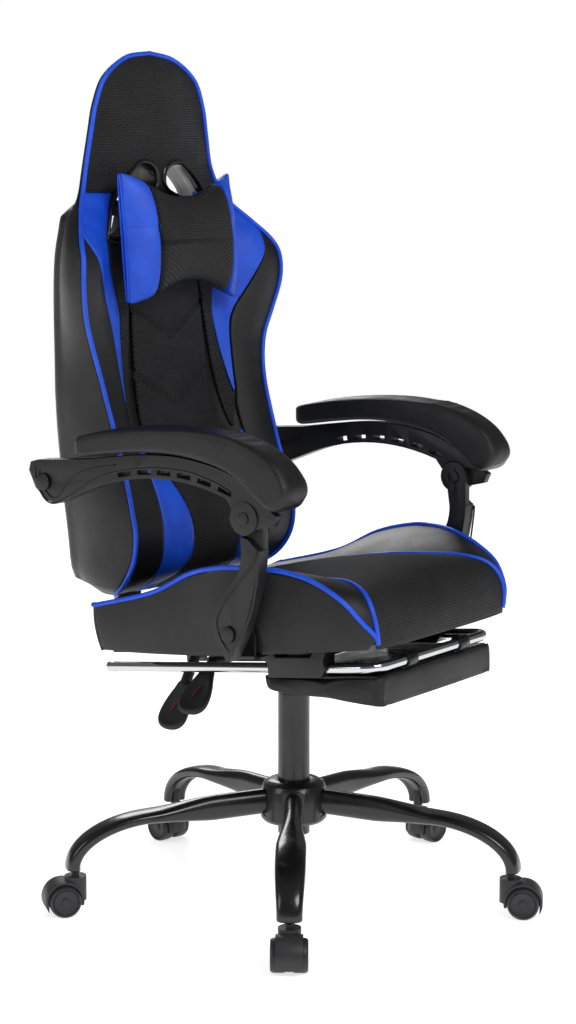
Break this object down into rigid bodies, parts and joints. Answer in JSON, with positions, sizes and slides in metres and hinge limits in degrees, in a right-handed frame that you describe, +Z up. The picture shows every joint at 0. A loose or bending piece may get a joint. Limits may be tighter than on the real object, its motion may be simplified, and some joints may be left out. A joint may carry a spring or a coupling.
{
  "type": "gaming chair",
  "caption": "High-backed swivel chair on casters with winged back, bucket seat, linked armrests, head pillow and slide-out footrest.",
  "frame": {"origin": "point on the floor on the axis of the gas lift column", "axes": "+Z up, -Y the way the sitter faces, +X to the sitter's left"},
  "size_m": [0.7497, 0.7776, 1.323],
  "materials": {
    "base_black": "satin black powder coat",
    "leg_gloss": "glossy black paint",
    "black_plastic": "satin",
    "grey_plastic": "fine textured dark grey",
    "plain_steel": "zinc plated",
    "bracket_black": "black paint",
    "plywood": "raw birch ply",
    "seat_cover": "black leatherette with mesh middle and blue piping",
    "back_cover": "black leatherette and mesh with blue panels",
    "black_leather": "black leatherette",
    "pillow_cover": "blue leatherette ends, black mesh middle",
    "strap_web": "woven elastic",
    "chrome_tube": "bright chrome"
  },
  "bodies": {
    "base": {"hub": "base_black", "column_tube": "base_black", "guide_bush": "black_plastic", "thrust_bearing": "plain_steel", "stem_sockets": "plain_steel", "leg_tube_1": "leg_gloss", "leg_tube_2": "leg_gloss", "leg_tube_3": "leg_gloss", "leg_tube_4": "leg_gloss", "leg_tube_5": "leg_gloss"},
    "caster_1": {"caster_hood_1": "grey_plastic"},
    "wheels_1": {"caster_wheels_1": "grey_plastic"},
    "caster_2": {"caster_hood_2": "grey_plastic"},
    "wheels_2": {"caster_wheels_2": "grey_plastic"},
    "caster_3": {"caster_hood_3": "grey_plastic"},
    "wheels_3": {"caster_wheels_3": "grey_plastic"},
    "caster_4": {"caster_hood_4": "grey_plastic"},
    "wheels_4": {"caster_wheels_4": "grey_plastic"},
    "caster_5": {"caster_hood_5": "grey_plastic"},
    "wheels_5": {"caster_wheels_5": "grey_plastic"},
    "lift_rod": {"piston_rod": "plain_steel", "rod_clip": "plain_steel"},
    "seat": {"gas_chamber": "base_black", "mechanism": "bracket_black", "recline_pin": "plain_steel", "seat_board": "plywood", "seat_cushion": "seat_cover", "pan_bolts": "plain_steel", "post_bracket_right": "bracket_black", "post_bracket_left": "bracket_black", "post_cap_right": "black_plastic", "post_cap_left": "black_plastic", "footrest_sleeve_right": "grey_plastic", "footrest_sleeve_left": "grey_plastic"},
    "back": {"back_bar": "bracket_black", "back_frame": "bracket_black", "back_cushion": "back_cover", "back_bolts": "plain_steel", "belt_bezel_right": "black_plastic", "belt_bezel_left": "black_plastic", "arm_pivot_right": "bracket_black", "arm_pivot_left": "bracket_black"},
    "arm_right": {"arm_frame_right": "grey_plastic", "arm_pad_right": "black_leather", "knuckle_bolt_right": "black_plastic"},
    "post_right": {"arm_post_right": "grey_plastic"},
    "arm_left": {"arm_frame_left": "grey_plastic", "arm_pad_left": "black_leather", "knuckle_bolt_left": "black_plastic"},
    "post_left": {"arm_post_left": "grey_plastic"},
    "footrest": {"footrest_tube": "chrome_tube", "rail_stops": "plain_steel"},
    "footrest_flap": {"footrest_board": "bracket_black", "footrest_pad": "black_leather"},
    "lift_handle": {"lift_lever": "black_plastic", "lift_grip": "grey_plastic"},
    "recline_handle": {"recline_lever": "black_plastic", "recline_grip": "grey_plastic"},
    "pillow": {"head_pillow": "pillow_cover", "pillow_strap": "strap_web"}
  },
  "joints": [
    {"name": "caster_swivel_1", "type": "hinge", "parent": "base", "child": "caster_1", "pos_m": [-0.29126, -0.19943, 0.06], "axis": [0, 0, 1], "continuous": true},
    {"name": "wheel_spin_1", "type": "hinge", "parent": "caster_1", "child": "wheels_1", "pos_m": [-0.30777, -0.21073, 0.025], "axis": [0.565, -0.8251, 0], "continuous": true},
    {"name": "caster_swivel_2", "type": "hinge", "parent": "base", "child": "caster_2", "pos_m": [0.09967, -0.33864, 0.06], "axis": [0, 0, 1], "continuous": true},
    {"name": "wheel_spin_2", "type": "hinge", "parent": "caster_2", "child": "wheels_2", "pos_m": [0.10918, -0.35623, 0.025], "axis": [0.8796, 0.4756, 0], "continuous": true},
    {"name": "caster_swivel_3", "type": "hinge", "parent": "base", "child": "caster_3", "pos_m": [0.35286, -0.00986, 0.06], "axis": [0, 0, 1], "continuous": true},
    {"name": "wheel_spin_3", "type": "hinge", "parent": "caster_3", "child": "wheels_3", "pos_m": [0.37245, -0.01388, 0.025], "axis": [0.2011, 0.9796, 0], "continuous": true},
    {"name": "caster_swivel_4", "type": "hinge", "parent": "base", "child": "caster_4", "pos_m": [0.11841, 0.33255, 0.06], "axis": [0, 0, 1], "continuous": true},
    {"name": "wheel_spin_4", "type": "hinge", "parent": "caster_4", "child": "wheels_4", "pos_m": [0.12244, 0.35214, 0.025], "axis": [-0.9796, 0.2011, 0], "continuous": true},
    {"name": "caster_swivel_5", "type": "hinge", "parent": "base", "child": "caster_5", "pos_m": [-0.27968, 0.21538, 0.06], "axis": [0, 0, 1], "continuous": true},
    {"name": "wheel_spin_5", "type": "hinge", "parent": "caster_5", "child": "wheels_5", "pos_m": [-0.29552, 0.22758, 0.025], "axis": [-0.6101, -0.7923, 0], "continuous": true},
    {"name": "seat_swivel", "type": "hinge", "parent": "base", "child": "lift_rod", "pos_m": [0, 0, 0.1], "axis": [0, 0, 1], "continuous": true},
    {"name": "seat_lift", "type": "slide", "parent": "lift_rod", "child": "seat", "axis": [0, 0, 1], "range_m": [-0.04, 0.06]},
    {"name": "recline", "type": "hinge", "parent": "seat", "child": "back", "pos_m": [0, 0.214, 0.4], "axis": [-1, 0, 0], "range_deg": [0, 35]},
    {"name": "arm_pivot_right", "type": "hinge", "parent": "back", "child": "arm_right", "pos_m": [-0.283, 0.253, 0.672], "axis": [-1, 0, 0], "range_deg": [-31, 0.5]},
    {"name": "arm_knuckle_right", "type": "hinge", "parent": "arm_right", "child": "post_right", "pos_m": [-0.283, -0.124, 0.648], "axis": [-1, 0, 0], "range_deg": [-0.5, 48.5]},
    {"name": "arm_pivot_left", "type": "hinge", "parent": "back", "child": "arm_left", "pos_m": [0.283, 0.253, 0.672], "axis": [-1, 0, 0], "range_deg": [-31, 0.5]},
    {"name": "arm_knuckle_left", "type": "hinge", "parent": "arm_left", "child": "post_left", "pos_m": [0.283, -0.124, 0.648], "axis": [-1, 0, 0], "range_deg": [-0.5, 48.5]},
    {"name": "footrest_slide", "type": "slide", "parent": "seat", "child": "footrest", "axis": [0, -0.9932, 0.1167], "range_m": [0, 0.27]},
    {"name": "footrest_flip", "type": "hinge", "parent": "footrest", "child": "footrest_flap", "pos_m": [0, -0.25921, 0.42372], "axis": [-1, 0, 0], "range_deg": [-0.5, 180.5]},
    {"name": "lift_lever_pull", "type": "hinge", "parent": "seat", "child": "lift_handle", "pos_m": [-0.066, 0.07, 0.386], "axis": [0, 1, 0], "range_deg": [0, 7], "stiffness_Nm_per_rad": 2, "springref_deg": -5.73},
    {"name": "recline_lever_pull", "type": "hinge", "parent": "seat", "child": "recline_handle", "pos_m": [-0.066, 0.118, 0.386], "axis": [0, 1, 0], "range_deg": [0, 7], "stiffness_Nm_per_rad": 2, "springref_deg": -5.73},
    {"name": "pillow_slide", "type": "slide", "parent": "back", "child": "pillow", "axis": [0, 0, 1], "range_m": [-0.01, 0.01]}
  ],
  "couplings": [
    {"joint": "arm_pivot_right", "follows": "recline", "ratio": -0.863},
    {"joint": "arm_knuckle_right", "follows": "recline", "ratio": 1.363},
    {"joint": "arm_pivot_left", "follows": "recline", "ratio": -0.863},
    {"joint": "arm_knuckle_left", "follows": "recline", "ratio": 1.363},
    {"joint": "footrest_flip", "follows": "footrest_slide", "rad_per_m": 11.636}
  ]
}
